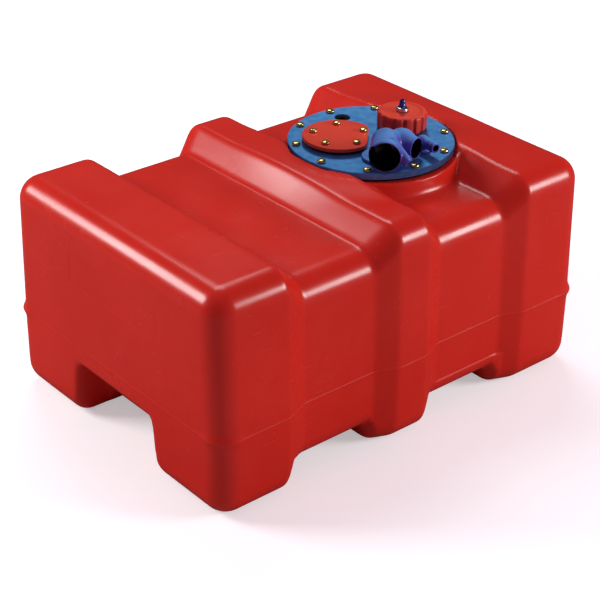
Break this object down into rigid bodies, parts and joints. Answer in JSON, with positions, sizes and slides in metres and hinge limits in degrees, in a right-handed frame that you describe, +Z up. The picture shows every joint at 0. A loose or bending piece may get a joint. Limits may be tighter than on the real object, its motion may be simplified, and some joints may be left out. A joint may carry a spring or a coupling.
{
  "type": "plastic fuel tank",
  "caption": "Box-shaped moulded plastic fuel tank with raised bands, strap channels and feet; a round bolted flange carries a filler elbow, a pick-up cap and a sender cover.",
  "frame": {"origin": "middle of the tank's footprint, on the surface that it stands on", "axes": "+X along the length towards the end with the flange, +Y across the width, +Z up"},
  "size_m": [0.5052, 0.3632, 0.2891],
  "materials": {
    "tank_red": "satin moulded polyethylene",
    "cap_red": "satin moulded plastic",
    "flange_blue": "satin moulded plastic",
    "elbow_purple": "satin moulded plastic",
    "nipple_navy": "satin moulded plastic",
    "rubber": "matt black nitrile rubber",
    "brass": "yellow plated, slotted",
    "steel": "plain plated",
    "black_plastic": "moulded",
    "white_plastic": "extruded tube",
    "strainer_grey": "fine mesh look"
  },
  "bodies": {
    "root": {"tank_shell": "tank_red", "flange_gasket": "rubber", "flange_plate": "flange_blue", "backing_ring": "steel", "sender_cover_gasket": "rubber", "sender_cover": "cap_red", "spare_port_plug": "black_plastic", "filler_elbow": "elbow_purple", "filler_elbow_seal": "rubber", "filler_lock_nut": "black_plastic", "return_elbow": "elbow_purple", "return_elbow_seal": "rubber", "return_lock_nut": "black_plastic", "return_tube": "white_plastic", "flange_screw_01": "brass", "flange_screw_02": "brass", "flange_screw_03": "brass", "flange_screw_04": "brass", "flange_screw_05": "brass", "flange_screw_06": "brass", "flange_screw_07": "brass", "flange_screw_08": "brass", "flange_screw_09": "brass", "flange_screw_10": "brass", "cover_screw_1": "brass", "cover_screw_2": "brass", "cover_screw_3": "brass", "cover_screw_4": "brass", "cover_screw_5": "brass"},
    "pickup": {"pickup_nipple": "nipple_navy", "nipple_collar": "steel", "pickup_tube": "white_plastic", "pickup_strainer": "strainer_grey", "cap_seal": "rubber"},
    "cap": {"cap_nut": "cap_red"}
  },
  "joints": [
    {"name": "pickup_lift", "type": "slide", "parent": "root", "child": "pickup", "axis": [0, 0, 1], "range_m": [0, 0.0101]},
    {"name": "cap_turn", "type": "hinge", "parent": "pickup", "child": "cap", "pos_m": [0.143, 0.001, 0.262], "axis": [0, 0, 1], "range_deg": [0, 900]}
  ],
  "couplings": [
    {"joint": "pickup_lift", "follows": "cap_turn", "m_per_rad": 0.00063662}
  ]
}
